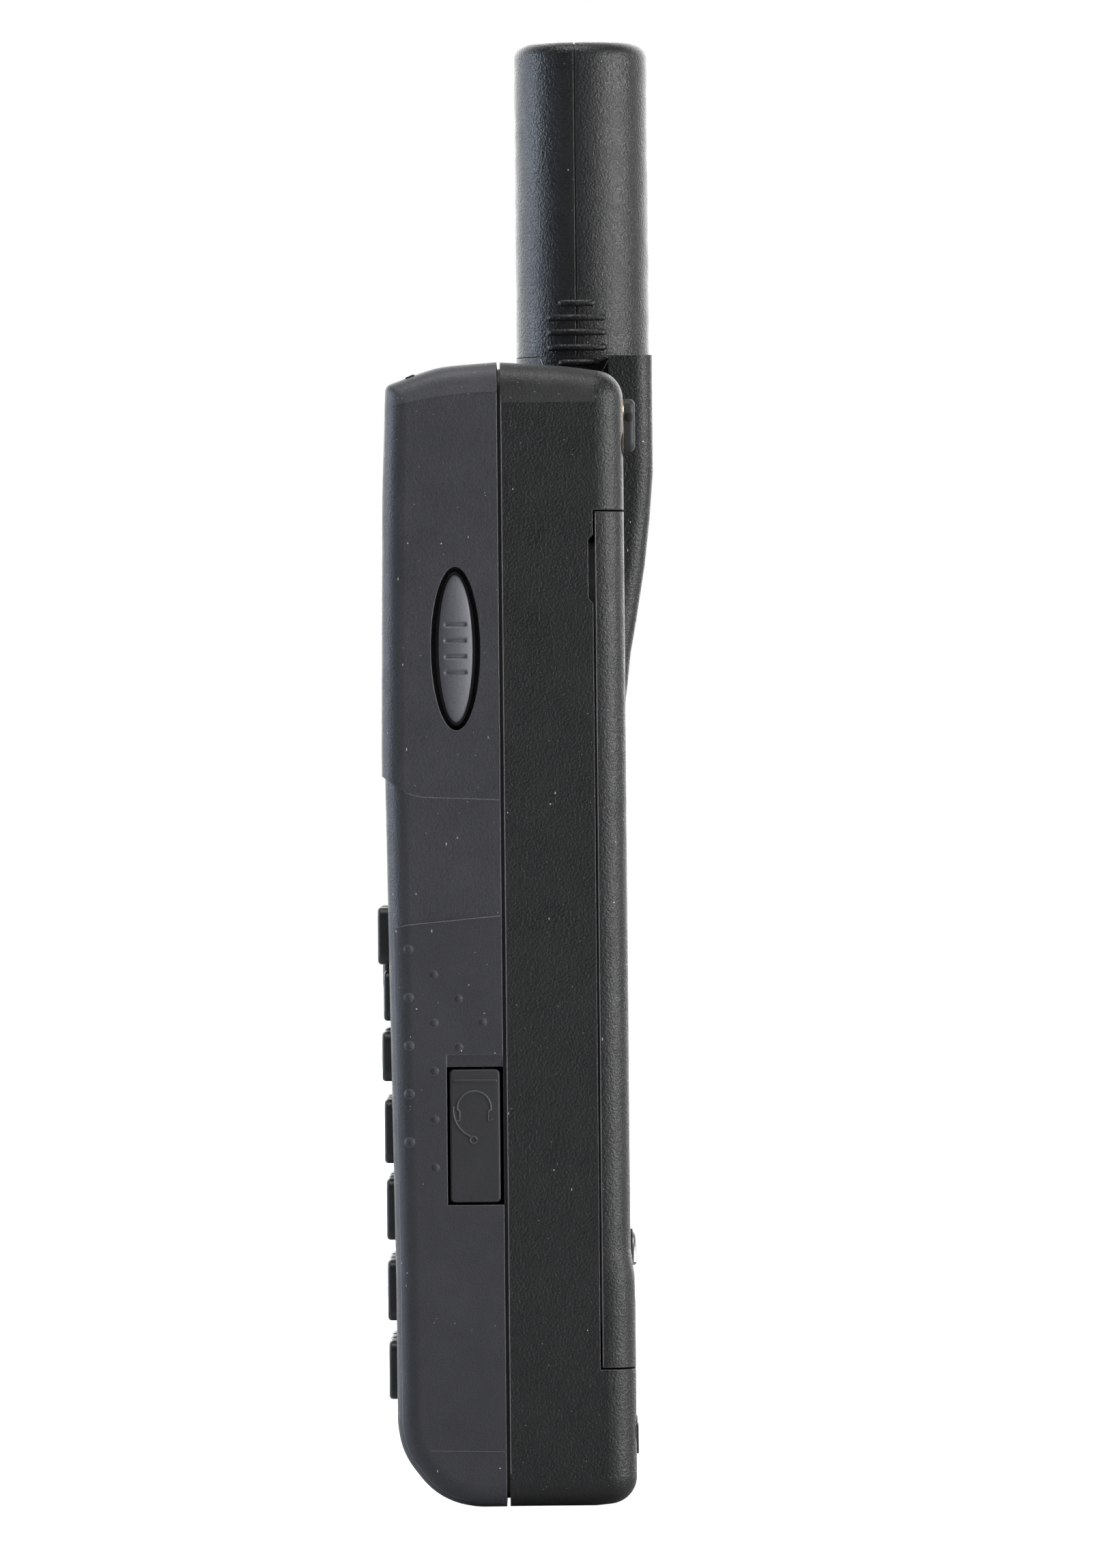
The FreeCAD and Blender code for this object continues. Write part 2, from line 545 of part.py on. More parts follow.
cover_skin = box("cover_skin", ("cover_left + cover_gap", 30), ("cover_seam_y + cover_gap", 30),
                 ("cover_low + cover_gap", "cover_high - cover_gap"))
cover_raw = common("cover_raw", rear_form("cover_form"), cover_skin)
cover_room = box("cover_room", (4.6, "half_width - cover_wall"), (0, "back_y - cover_wall"),
                 (22.6, 146))
ring_pocket = rod("ring_pocket", "Y", LOCK, (18.05, 22), 8.3)
lock_bore = rod("lock_bore", "Y", LOCK, (10, 30), 4.2)
lock_boss = rod("lock_boss", "Y", LOCK, (16.5, 18.2), 5.6)
cover_cut = cut("cover_cut", fuse("cover_boss", cut("cover_hollow", cover_raw, cover_room), lock_boss),
                ring_pocket, lock_bore)
publish(cover_cut, "battery_cover")
seal_outer = slab("seal_outer", "Y", (5.0, 24.4), (23.4, 145.4), (16.3, 16.9), 2)
seal_inner = slab("seal_inner", "Y", (6.2, 23.2), (41, 144.0), (16, 17.2), 1.5)
publish(cut("seal_cut", seal_outer, seal_inner, rod("seal_bore", "Y", LOCK, (10, 30), 6)),
        "cover_seal")

lock_disc = rod("lock_disc", "Y", LOCK, (16.7, 18.3), 4.0)
lock_coin = box("lock_coin", (14.4, 15.6), (17.7, 20), (29.8, 35.2))
publish(cut("lock_cut", lock_disc, lock_coin), "cover_lock")
ring_torus = make("Part::Torus", "ring_torus")
ring_torus.Placement = Placement(Vector(15, 18.85, 36.0), Rotation(Vector(1, 0, 0), 90))
bind(ring_torus, Radius1="4.4", Radius2="0.5")
ring_half = box("ring_half", (8, 22), (17, 22), (36.0, 42))
ring_bar = rod("ring_bar", "X", (18.85, 36.0), (10.6, 19.4), 0.5)
publish(fuse("ring_fuse", common("ring_arc", ring_torus, ring_half), ring_bar), "lock_ring")

# ---- rubber covers over the sockets ----

headset_flap = slab("headset_flap", "X", ("port_front", "port_back"), ("port_low", "port_high"),
                    ("grip_half - 1.8", "grip_half"), 0.7, 0.3, "grip_half")
publish(headset_flap, "headset_cover")
data_flap = slab("data_flap", "X", ("port_front", "port_back"), (118.0, 134.0),
                 ("-half_width", "1.6 - half_width"), 0.7, 0.3, "-half_width")
publish(data_flap, "data_cover")
cap_flap = slab("cap_flap", "Y", (8.0, 16.0), (156.7, 164.5), (18.7, 20.3), 1.2, 0.8, 20.3)
publish(cap_flap, "antenna_port_cover")

# ---- volume rocker ----

rocker_body = rocker_ellipse("rocker_body", "rocker_long", "rocker_wide", 24.6, 27.0)
rocker_skirt = rocker_ellipse("rocker_skirt", "recess_long", "recess_wide", 24.6, 25.4, "-0.5")
publish(fuse("rocker_fuse", rocker_body, rocker_skirt), "volume_rocker")

# ---- keys ----

for node, left, right, low, high, face in KEYS:
    round_key = node == "select_key"
    cap = slab(node + "_cap", "Y", (left, right), (low, high), (-face, "key_floor"),
               3.3 if round_key else 1.5, 0.5, -face)
    if node == "nav_key":
        cap = cut("nav_cut", cap, slab("nav_hole", "Y", (-4.0, 4.0), (76.2, 84.2), (-20, -10), 3.7))
    publish(cap, node)

# ---- inside ----

INNER_BLOCKS = {
    "display_window": ("Y", (-20.0, 20.0), (110.4, 156.2), (-17.2, -16.45), 2.8),
    "display_module": ("Y", (-18.2, 18.2), (109, 155.6), (-15.5, -13.1), 1.0),
    "earpiece": ("Y", (-6.5, 6.5), (157.6, 163.4), (-15.5, -12.6), 1.5),
    "keypad_mat": ("Y", (-21.6, 21.6), (14.0, 90.6), (-14.2, -13.6), 2.0),
    "dome_sheet": ("Y", (-21.2, 21.2), (14.4, 90.2), (-13.6, -13.3), 2.0),
    "main_board": ("Y", (-18.6, 18.6), (14.2, 156), (-13.1, -12.0), 2.0),
    "shield_can": ("Y", (-14, 14), (98, 150), (-12.0, -9.4), 1.0),
    "chassis_frame": ("Y", (-18.8, 18.8), (14.4, 155.6), (-3.4, -2.0), 2.0),
    "battery_pack": ("Y", (5.0, 24.4), (26, 143.5), (8.0, 16.2), 1.5),
    "sim_holder": ("Y", (7.0, 23.0), (95, 122), (6.0, 7.7), 0.6),
    "battery_contacts": ("Y", (9.0, 20.0), (24.1, 25.9), (8.5, 13.2), 0.4),
    "microphone": ("Y", (-2.0, 2.0), (13.2, 17.2), (-12.0, -10.4), 1.0),
}
for node, (axis, x, z, y, corner) in INNER_BLOCKS.items():
    block = slab(node + "_block", axis, x, z, y, corner)
    if node == "sim_holder":
        block = cut("sim_slot", block, box("sim_room", (7.5, 22.5), (6.5, 7.5), (94, 121.2)))
    publish(block, node)

publish(cut("speaker_cut", rod("speaker_can", "Y", SPEAKER, (11.4, 15.8), 8.4),
            rod("speaker_back", "Y", SPEAKER, (11.0, 12.0), 3.0)), "loudspeaker")
publish(rod("motor_can", "X", (5.0, 30), (-20, -9), 3.0), "vibration_motor")
publish(cut("jack_cut", rod("jack_barrel", "X", (-5.4, 57), (19.2, 24.4), 2.0),
            rod("jack_bore", "X", (-5.4, 57), (19.6, 30), 1.28)), "headset_jack")
publish(cut("data_cut", box("data_shell", (-24.5, -19.2), (-7.4, -4.2), (121.8, 130.2)),
            box("data_room", (-30, -20), (-6.9, -4.7), (122.3, 129.7))), "data_connector")
coax = fuse("coax", rod("coax_body", "Y", ANTENNA_SOCKET, (10, 18.4), 2.4),
            rod("coax_flange", "Y", ANTENNA_SOCKET, (9.2, 10.4), 3.2))
publish(cut("coax_cut", coax, rod("coax_bore", "Y", ANTENNA_SOCKET, (13, 20), 1.2)),
        "antenna_connector")

gasket_outer = slab("gasket_outer", "Y", (-25.9, 25.9), (1.2, 168.9), ("-seam_gap / 2", "seam_gap / 2"),
                    4)
gasket_inner = slab("gasket_inner", "Y", (-24.6, 24.6), (2.6, 167.5), (-2, 2), 3)
gasket_holes = group("gasket_holes", *[rod("gasket_hole%d" % i, "Y", (x, z), (-2, 2), 2.9)
                                       for i, (x, z) in enumerate(SCREWS)])
publish(cut("gasket_cut", gasket_outer, gasket_inner, gasket_holes), "shell_gasket")

feet = group("feet", *[rod("foot%d" % i, "Y", (x, FOOT_Z), (18.6, 19.45), 2.3)
                       for i, x in enumerate(FOOT_X)])
publish(feet, "back_feet")

screws = []
for i, (x, z) in enumerate(SCREWS):
    head = rod("screw_top%d" % i, "Y", (x, z), (16.9, 17.9), 2.1)
    shank = rod("screw_shank%d" % i, "Y", (x, z), (-8, 17.2), 1.1)
    socket = rod("screw_drive%d" % i, "Y", (x, z), (17.3, 19), 0.8)
    screws.append(cut("screw%d" % i, fuse("screw_raw%d" % i, head, shank), socket))
publish(group("screws", *screws), "case_screws")

# ---- checks and files ----

doc.recompute()
for item in doc.Objects:
    if "Invalid" in item.State or "Error" in item.State:
        raise SystemExit("failed: %s %s" % (item.Name, item.getStatusString()))
os.makedirs("parts", exist_ok=True)
for node, item in NODES.items():
    if item.Shape.isNull() or not item.Shape.isValid() or not item.Shape.Solids:
        raise SystemExit("bad shape: " + node)
    item.Shape.exportStep("parts/%s.step" % node)
print(len(NODES), "parts written")
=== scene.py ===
import json
import math

import bmesh
import bpy
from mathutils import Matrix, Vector


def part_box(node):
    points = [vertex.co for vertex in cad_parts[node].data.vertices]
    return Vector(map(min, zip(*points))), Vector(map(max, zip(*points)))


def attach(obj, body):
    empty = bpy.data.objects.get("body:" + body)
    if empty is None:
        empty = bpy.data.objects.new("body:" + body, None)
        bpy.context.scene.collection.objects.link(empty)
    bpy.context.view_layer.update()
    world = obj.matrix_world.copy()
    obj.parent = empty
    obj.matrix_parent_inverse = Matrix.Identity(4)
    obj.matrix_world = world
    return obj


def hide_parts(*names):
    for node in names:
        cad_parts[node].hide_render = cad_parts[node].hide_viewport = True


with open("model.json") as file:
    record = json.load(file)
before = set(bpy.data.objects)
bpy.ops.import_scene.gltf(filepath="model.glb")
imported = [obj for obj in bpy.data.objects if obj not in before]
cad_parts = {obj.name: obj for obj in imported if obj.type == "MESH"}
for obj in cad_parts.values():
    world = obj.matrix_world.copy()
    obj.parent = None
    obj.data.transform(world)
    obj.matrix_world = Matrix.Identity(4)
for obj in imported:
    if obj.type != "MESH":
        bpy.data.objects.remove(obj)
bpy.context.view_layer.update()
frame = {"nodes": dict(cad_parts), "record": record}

MM = 0.001
nodes = frame["nodes"]


# ---- materials ----

class Shader:
    """A procedural material under construction, built round one Principled shader."""

    def __init__(self, name, roughness, metallic=0.0, ior=1.5, coat=0.0, coat_roughness=0.1):
        self.material = bpy.data.materials.new(name)
        self.material.use_nodes = True
        self.tree = self.material.node_tree
        self.bsdf = self.tree.nodes["Principled BSDF"]
        self.bsdf.inputs["Roughness"].default_value = roughness
        self.bsdf.inputs["Metallic"].default_value = metallic
        self.bsdf.inputs["IOR"].default_value = ior
        self.bsdf.inputs["Coat Weight"].default_value = coat
        self.bsdf.inputs["Coat Roughness"].default_value = coat_roughness
        self.place = self.tree.nodes.new("ShaderNodeTexCoord").outputs["Object"]
        self.height = None

    def node(self, kind, **settings):
        made = self.tree.nodes.new("ShaderNode" + kind)
        for key, value in settings.items():
            if key in made.inputs:
                made.inputs[key].default_value = value
            else:
                setattr(made, key, value)
        return made

    def link(self, source, target):
        self.tree.links.new(source, target)

    def noise(self, size_mm, detail=3.0, rough=0.55):
        """Noise whose features are about size_mm across, from 0 to 1."""
        made = self.node("TexNoise", Scale=1.0 / (size_mm * MM), Detail=detail, Roughness=rough)
        self.link(self.place, made.inputs["Vector"])
        return made.outputs["Fac"]

    def ramp(self, source, low, high, from_low=0.3, from_high=0.7):
        made = self.node("MapRange")
        made.inputs["From Min"].default_value = from_low
        made.inputs["From Max"].default_value = from_high
        made.inputs["To Min"].default_value = low
        made.inputs["To Max"].default_value = high
        self.link(source, made.inputs["Value"])
        return made.outputs["Result"]

    def mix(self, factor, one, other):
        made = self.node("Mix", data_type="RGBA")
        self.link(factor, made.inputs["Factor"])
        for place, value in ((6, one), (7, other)):
            if isinstance(value, tuple):
                made.inputs[place].default_value = value + (1.0,)
            else:
                self.link(value, made.inputs[place])
        return made.outputs[2]

    def bump(self, source, distance_mm, strength=1.0):
        made = self.node("Bump", Strength=strength, Distance=distance_mm * MM)
        self.link(source, made.inputs["Height"])
        if self.height is not None:
            self.link(self.height, made.inputs["Normal"])
        self.height = made.outputs["Normal"]

    def soft_edges(self, radius_mm):
        """Round every sharp edge in shading; returns 0 on flat faces, rising to 1 on the edges."""
        corner = self.node("Bevel", samples=6)
        corner.inputs["Radius"].default_value = radius_mm * MM
        self.height = corner.outputs["Normal"]
        plain = self.node("NewGeometry")
        turn = self.node("VectorMath", operation="DOT_PRODUCT")
        self.link(corner.outputs["Normal"], turn.inputs[0])
        self.link(plain.outputs["Normal"], turn.inputs[1])
        return self.ramp(turn.outputs["Value"], 0.0, 1.0, 0.995, 0.90)

    def specks(self, size_mm, share, stretch=(1.0, 1.0, 1.0), radius=0.07):
        """Sparse dust: 1 on a speck and 0 elsewhere. stretch draws the specks out into fibres."""
        turned = self.node("Mapping", Scale=stretch, Rotation=(0.6, 0.0, 0.4))
        self.link(self.place, turned.inputs["Vector"])
        cells = self.node("TexVoronoi", Scale=1.0 / (size_mm * MM))
        self.link(turned.outputs["Vector"], cells.inputs["Vector"])
        near = self.ramp(cells.outputs["Distance"], 1.0, 0.0, radius * 0.6, radius)
        parts = self.node("SeparateColor")
        self.link(cells.outputs["Color"], parts.inputs["Color"])
        rare = self.ramp(parts.outputs[0], 0.0, 1.0, 1.0 - share, 1.0 - share + 0.001)
        both = self.node("Math", operation="MULTIPLY")
        self.link(near, both.inputs[0])
        self.link(rare, both.inputs[1])
        return both.outputs[0]

    def done(self, colour=None, roughness=None):
        if colour is not None:
            self.link(colour, self.bsdf.inputs["Base Color"])
        if roughness is not None:
            self.link(roughness, self.bsdf.inputs["Roughness"])
        if self.height is not None:
            self.link(self.height, self.bsdf.inputs["Normal"])
        return self.material


def moulded(name, dark, light, roughness, grain_mm, grain_depth, dust=0.0, ior=1.46, edge=None):
    """Moulded plastic or rubber: pebbled grain with painted shade in its hollows, slow colour drift,
    uneven gloss, sharp edges made paler by a painted highlight, and stray dust."""
    shader = Shader(name, roughness, ior=ior)
    drift = shader.ramp(shader.noise(9.0, 4.0), 0.0, 1.0)
    colour = shader.mix(drift, dark, light)
    # sharp edges get a paler colour here: a painted highlight
    if edge:
        edge_highlight_mask = shader.soft_edges(0.2)
        colour = shader.mix(edge_highlight_mask, colour, edge)
    fine = shader.noise(grain_mm, 2.0, 0.6)
    # the hollows of the grain, where the bump is lowest, are painted darker: painted shade
    colour = shader.mix(shader.ramp(fine, 0.45, 0.0, 0.3, 0.55), colour, tuple(part * 0.55 for part in dark))
    shader.bump(fine, grain_depth)
    shader.bump(shader.noise(2.6, 2.0), grain_depth * 0.8, 0.5)
    if dust:
        pale, dull = (0.55, 0.55, 0.53), (0.26, 0.26, 0.26)
        colour = shader.mix(shader.specks(1.7, dust * 1.6, radius=0.075), colour, pale)
        colour = shader.mix(shader.specks(1.0, dust * 3.0, radius=0.09), colour, dull)
        colour = shader.mix(shader.specks(1.5, dust * 1.2, (1.6, 1.6, 0.5), 0.09), colour, pale)
    gloss = shader.ramp(shader.noise(4.0, 5.0), roughness - 0.05, roughness + 0.06)
    return shader.done(colour, gloss)


def brushed(name, tone, roughness, grain=0.25):
    """Bare metal with fine uneven rubbing marks."""
    shader = Shader(name, roughness, metallic=1.0)
    dark = tuple(part * 0.92 for part in tone)
    colour = shader.mix(shader.ramp(shader.noise(0.9, 4.0), 0.0, 1.0), dark, tone)
    shader.bump(shader.noise(grain, 3.0), 0.002)
    gloss = shader.ramp(shader.noise(1.6, 4.0), roughness + 0.04, roughness + 0.12)
    return shader.done(colour, gloss)


# each edge= colour paints a highlight along the material's sharp edges
MATERIALS = {
    "front_plastic": moulded("front_plastic", (0.038, 0.039, 0.045), (0.050, 0.051, 0.059), 0.45,
                             0.30, 0.08, dust=0.06, edge=(0.14, 0.145, 0.15)),
    "rear_plastic": moulded("rear_plastic", (0.010, 0.0112, 0.0112), (0.0145, 0.0157, 0.0157), 0.38,
                            0.36, 0.14, dust=0.05, edge=(0.11, 0.115, 0.115)),
    "grip_rubber": moulded("grip_rubber", (0.034, 0.035, 0.041), (0.043, 0.044, 0.051), 0.52,
                           0.26, 0.06, dust=0.06, edge=(0.15, 0.155, 0.165)),
    "antenna_plastic": moulded("antenna_plastic", (0.013, 0.014, 0.0145), (0.018, 0.019, 0.0195), 0.33,
                               0.34, 0.14, dust=0.05, edge=(0.07, 0.07, 0.07)),
    "cover_rubber": moulded("cover_rubber", (0.027, 0.028, 0.030), (0.034, 0.035, 0.038), 0.5,
                            0.25, 0.01, edge=(0.13, 0.135, 0.14)),
    "key_plastic": moulded("key_plastic", (0.034, 0.035, 0.038), (0.044, 0.045, 0.049), 0.42,
                           0.25, 0.006, edge=(0.12, 0.12, 0.125)),
    "rocker_plastic": moulded("rocker_plastic", (0.11, 0.114, 0.132), (0.13, 0.135, 0.153), 0.45,
                              0.25, 0.03),
    "display": moulded("display", (0.085, 0.10, 0.10), (0.10, 0.115, 0.112), 0.4, 0.3, 0.002),
    "steel": brushed("steel", (0.62, 0.62, 0.63), 0.28),
    "magnesium": brushed("magnesium", (0.45, 0.45, 0.47), 0.45),
    "brass": brushed("brass", (0.72, 0.50, 0.24), 0.3),
    "board": moulded("board", (0.01, 0.06, 0.03), (0.015, 0.08, 0.04), 0.35, 0.6, 0.004),
    "pad_rubber": moulded("pad_rubber", (0.012, 0.012, 0.013), (0.018, 0.018, 0.02), 0.6, 0.3, 0.006),
    "film": moulded("film", (0.10, 0.10, 0.11), (0.14, 0.14, 0.15), 0.35, 1.2, 0.004),
    "black_part": moulded("black_part", (0.01, 0.01, 0.01), (0.016, 0.016, 0.016), 0.5, 0.4, 0.006),
    # paler tones of the top band: painted light where the sides round into the top, with extra dust
    "band_front_painted_light": moulded("band_front_painted_light", (0.058, 0.059, 0.067), (0.074, 0.075, 0.084), 0.5,
                          0.3, 0.05, dust=0.16),
    "band_rear_painted_light": moulded("band_rear_painted_light", (0.026, 0.027, 0.027), (0.036, 0.037, 0.037), 0.45,
                         0.36, 0.08, dust=0.12),
    # paler than the cover rubber: painted highlight on the raised pictogram lines
    "raised_line_painted_highlight": moulded("raised_line_painted_highlight", (0.060, 0.061, 0.066), (0.085, 0.086, 0.092), 0.42,
                           0.25, 0.01),
    # pale wires on seams, ridges and rims: a painted highlight
    "painted_edge_highlight": moulded("painted_edge_highlight", (0.085, 0.086, 0.09), (0.15, 0.15, 0.155), 0.4,
                           0.6, 0.02),
}


def window_glass():
    """The display window: a dark, hard-coated sheet with a faint smear of handling marks."""
    shader = Shader("window_glass", 0.06, ior=1.5, coat=0.6, coat_roughness=0.04)
    colour = shader.mix(shader.ramp(shader.noise(12.0, 3.0), 0.0, 1.0),
                        (0.012, 0.014, 0.016), (0.018, 0.020, 0.022))
    gloss = shader.ramp(shader.noise(6.0, 6.0), 0.05, 0.13)
    return shader.done(colour, gloss)


def printed(name, tone):
    """Printing ink, a little worn."""
    shader = Shader(name, 0.5)
    worn = shader.ramp(shader.noise(0.5, 4.0), 0.0, 1.0, 0.25, 0.5)
    dull = tuple(part * 0.8 for part in tone)
    return shader.done(shader.mix(worn, dull, tone))


MATERIALS["window_glass"] = window_glass()
MATERIALS["print_white"] = printed("print_white", (0.62, 0.63, 0.64))
MATERIALS["print_green"] = printed("print_green", (0.05, 0.42, 0.08))
MATERIALS["print_red"] = printed("print_red", (0.50, 0.03, 0.03))

for entry in frame["record"]["subparts"]:
    target = nodes[entry["node"]]
    target.data.materials.clear()
    target.data.materials.append(MATERIALS[entry["material_slot"]])

# ---- mesh helpers ----

gasket_low, gasket_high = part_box("shell_gasket")
SEAM_Y = (gasket_low[1] + gasket_high[1]) / 2


def at(x, y, z):
    """A point given in mm, with y measured from the seam between the shells."""
    return Vector((x * MM, SEAM_Y + y * MM, z * MM))


def face_centre(node):
    """The middle of a node's box on the keypad side, which looks along -Y."""
    low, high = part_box(node)
    return Vector(((low[0] + high[0]) / 2, low[1], (low[2] + high[2]) / 2))


def turns(steps):
    """Angles that divide a full circle evenly."""
    return [2 * math.pi * n / steps for n in range(steps)]


def bridge(bm, one, two, closed=True):
    """Faces between two rows that have equally many vertices."""
    for n in range(len(one) if closed else len(one) - 1):
        m = (n + 1) % len(one)
        bm.faces.new((one[n], one[m], two[m], two[n]))


def baked(holder):
    """The mesh of a curve or text object, which is removed."""
    bpy.context.scene.collection.objects.link(holder)
    bpy.context.view_layer.update()
    mesh = bpy.data.meshes.new_from_object(holder)
    mesh.transform(holder.matrix_world)
    bpy.data.objects.remove(holder)
    bm = bmesh.new()
    bm.from_mesh(mesh)
    bpy.data.meshes.remove(mesh)
    return bm


def piece(name, bm, material, body, replaces=()):
    """Turn a bmesh into a smooth object that rides on a body."""
    bmesh.ops.recalc_face_normals(bm, faces=bm.faces)
    mesh = bpy.data.meshes.new(name)
    bm.to_mesh(mesh)
    bm.free()
    for face in mesh.polygons:
        face.use_smooth = True
    mesh.materials.append(MATERIALS[material])
    made = bpy.data.objects.new(name, mesh)
    bpy.context.scene.collection.objects.link(made)
    mesh.set_sharp_from_angle(angle=math.radians(40))
    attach(made, body)
    if replaces:
        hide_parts(*replaces)


def pill(bm, centre, along, across, out, length, width, height):
    """A rounded bar, half sunk in the surface that it stands on. Sizes in mm."""
    made = bmesh.ops.create_uvsphere(bm, u_segments=24, v_segments=12, radius=1.0)
    stretch = (length - width) / 2
    for vertex in made["verts"]:
        a, b, c = vertex.co
        shift = stretch if a > 1e-4 else (-stretch if a < -1e-4 else 0.0)
        vertex.co = centre + (along * (a * width / 2 + shift) + across * (b * width / 2)
                              + out * (c * height)) * MM


def tube(name, points, radius, material, body):
    """A round wire along points, turned into a mesh."""
    curve = bpy.data.curves.new(name + "_path", "CURVE")
    curve.dimensions = "3D"
    curve.bevel_depth = radius * MM
    curve.bevel_resolution = 4
    curve.use_fill_caps = True
    spline = curve.splines.new("POLY")
    spline.points.add(len(points) - 1)
    for spot, point in zip(spline.points, points):
        spot.co = (*point, 1.0)
    holder = bpy.data.objects.new(name + "_curve", curve)
    piece(name, baked(holder), material, body)


X, Y, Z = Vector((1, 0, 0)), Vector((0, 1, 0)), Vector((0, 0, 1))


def surface(names, start, direction):
    """The first point where a ray meets one of the CAD nodes, or None."""
    found = []
    for name in names:
        target = nodes[name]
        inverse = target.matrix_world.inverted()
        hit, place = target.ray_cast(inverse @ start, inverse.to_3x3() @ direction)[:2]
        if hit:
            place = target.matrix_world @ place
            found.append(((place - start).length, place))
    return min(found)[1] if found else None


def side_point(names, y, z, side=1):
    """The outermost point of some nodes on one side face; y and z in mm, as for at()."""
    return surface(names, at(side * 60, y, z), -X * side)

# ---- antenna ----

def antenna_ribs():
    """Five finger ribs across the seam, bent round the foot of the tube."""
    tube_nodes = ("antenna_front_half", "antenna_rear_half", "antenna_knuckle")
    half_thick, sunk, steps, around = 0.55, 0.12, 40, 12
    tube_seam, tube_foot = 11.8, 171.8
    seam_skip = 0.25
    bm = bmesh.new()
    for height, length in zip((179.6, 177.4, 175.2, 172.9, 170.6), (5.6, 9.0, 9.0, 9.0, 5.6)):
        rings = []
        for i in range(steps + 1):
            reach = length / 2 - half_thick
            along = -math.cos(math.pi * i / steps) * length / 2
            over = max(0.0, abs(along) - reach) / half_thick
            thick = half_thick * math.sqrt(max(1e-4, 1 - over * over))
            probe = along if abs(along) > seam_skip else seam_skip
            face = side_point(tube_nodes, tube_seam + probe, max(height, tube_foot))
            middle = Vector((face[0] - sunk * MM, SEAM_Y + (tube_seam + along) * MM, height * MM))
            rings.append([bm.verts.new(middle + (X * 0.9 * math.sin(turn) + Z * math.cos(turn)) * thick * MM)
                          for turn in turns(around)])
        for one, two in zip(rings, rings[1:]):
            bridge(bm, one, two)
        bm.faces.new(rings[0])
        bm.faces.new(rings[-1])
    piece("antenna_ribs", bm, "antenna_plastic", "antenna")


antenna_ribs()

# ---- volume rocker ----

ROCKER_HALF_LONG, ROCKER_HALF_WIDE = 10.9, 2.5
ROCKER_Y, ROCKER_Z = -6.7, 127.4
ROCKER_FOOT = 24.7


def rocker_cap():
    """A long oval cap, crowned both ways, with four rounded grooves."""
    peak, edge = 27.0, 25.9
    rows, columns = 220, 40
    groove_pitch, groove_half, groove_reach, groove_depth = 2.37, 0.42, 1.75, 0.42
    bm = bmesh.new()
    grid = []
    for i in range(rows + 1):
        along = -math.cos(math.pi * i / rows)
        z = ROCKER_HALF_LONG * along
        reach = ROCKER_HALF_WIDE * math.sqrt(max(0.0, 1 - along * along))
        line = []
        for k in range(columns + 1):
            across = -math.cos(math.pi * k / columns)
            y = reach * across
            crown = (1 - abs(along) ** 2.6) * (1 - 0.75 * across * across)
            x = edge + (peak - edge) * max(0.0, crown) ** 0.75
            for n in range(4):
                off = abs(z - (n - 1.5) * groove_pitch) / groove_half
                side = max(0.0, abs(y) - groove_reach + groove_half) / groove_half
                gap = math.hypot(off, side)
                if gap < 1:
                    x -= groove_depth * math.cos(gap * math.pi / 2)
            line.append(bm.verts.new(at(x, ROCKER_Y + y, ROCKER_Z + z)))
        grid.append(line)
    for one, two in zip(grid, grid[1:]):
        bridge(bm, one, two, closed=False)
    rim = [line[0] for line in grid] + [line[-1] for line in reversed(grid)]
    sunk = [bm.verts.new((ROCKER_FOOT * MM, vertex.co[1], vertex.co[2])) for vertex in rim]
    bridge(bm, rim, sunk)
    bmesh.ops.remove_doubles(bm, verts=bm.verts, dist=0.004 * MM)
    piece("rocker_cap", bm, "rocker_plastic", "volume_rocker", ["volume_rocker"])


def rocker_skirt():
    """The dark oval skirt round the foot of the cap."""
    bm = bmesh.new()
    rings = []
    for half_wide, x in ((3.12, ROCKER_FOOT), (3.12, 25.1), (2.95, 25.25), (2.3, 25.25)):
        half_long = ROCKER_HALF_LONG + half_wide - ROCKER_HALF_WIDE
        rings.append([bm.verts.new(at(x, ROCKER_Y + half_wide * math.cos(turn),
                                      ROCKER_Z + half_long * math.sin(turn)))
                      for turn in turns(96)])
    for one, two in zip(rings, rings[1:]):
        bridge(bm, one, two)
    piece("rocker_skirt", bm, "black_part", "volume_rocker")


rocker_cap()
rocker_skirt()

# ---- the smoother, paler band round the top: painted light ----

def band(name, node, material, side, start, end, foot):
    """A thin skin over the top of one side, paler than the shell as painted light; foot(y) is the height of
    its lower edge.
    """
    columns, rows, lift, below_top = 60, 24, 0.05, 0.03
    bm = bmesh.new()
    grid = []
    for i in range(columns + 1):
        y = start + (end - start) * i / columns
        top = surface([node], at(side * 20, y, 200), -Z)[2] / MM - below_top
        line = []
        for k in range(rows + 1):
            share = math.sin(math.pi / 2 * k / rows)
            place = side_point([node], y, foot(y) + (top - foot(y)) * share, side)
            line.append(bm.verts.new(place + X * side * lift * MM))
        grid.append(line)
    for one, two in zip(grid, grid[1:]):
        bridge(bm, one, two, closed=False)
    rim = [line[0] for line in grid] + grid[-1][1:]
    sunk = [bm.verts.new(vertex.co - X * side * 3 * lift * MM) for vertex in rim]
    bridge(bm, rim, sunk, closed=False)
    piece(name, bm, material, "phone")


for side, word in ((1, "right"), (-1, "left")):
    band("front_band_" + word, "front_bezel", "band_front_painted_light", side, -0.3, -15.9,
         lambda y: 165.4 - 2.4 * (abs(y) / 17.0) ** 2.2)
band("rear_band", "rear_shell", "band_rear_painted_light", 1, 0.3, 14.2, lambda y: 163.8)


def top_slot_painted_shade():
    """A small black pill on the sloping top of the bezel, near each side: painted shade that stands in for a
    slot.
    """
    tilt = Vector((0, 0.93, 0.37))
    bm = bmesh.new()
    for side in (-1, 1):
        place = surface(["front_bezel"], at(side * 23.8, -13.1, 200), -Z)
        pill(bm, place, tilt, X, X.cross(tilt), 1.5, 0.5, 0.22)
    piece("top_slot_painted_shade", bm, "black_part", "phone")


top_slot_painted_shade()

# ---- antenna socket ----

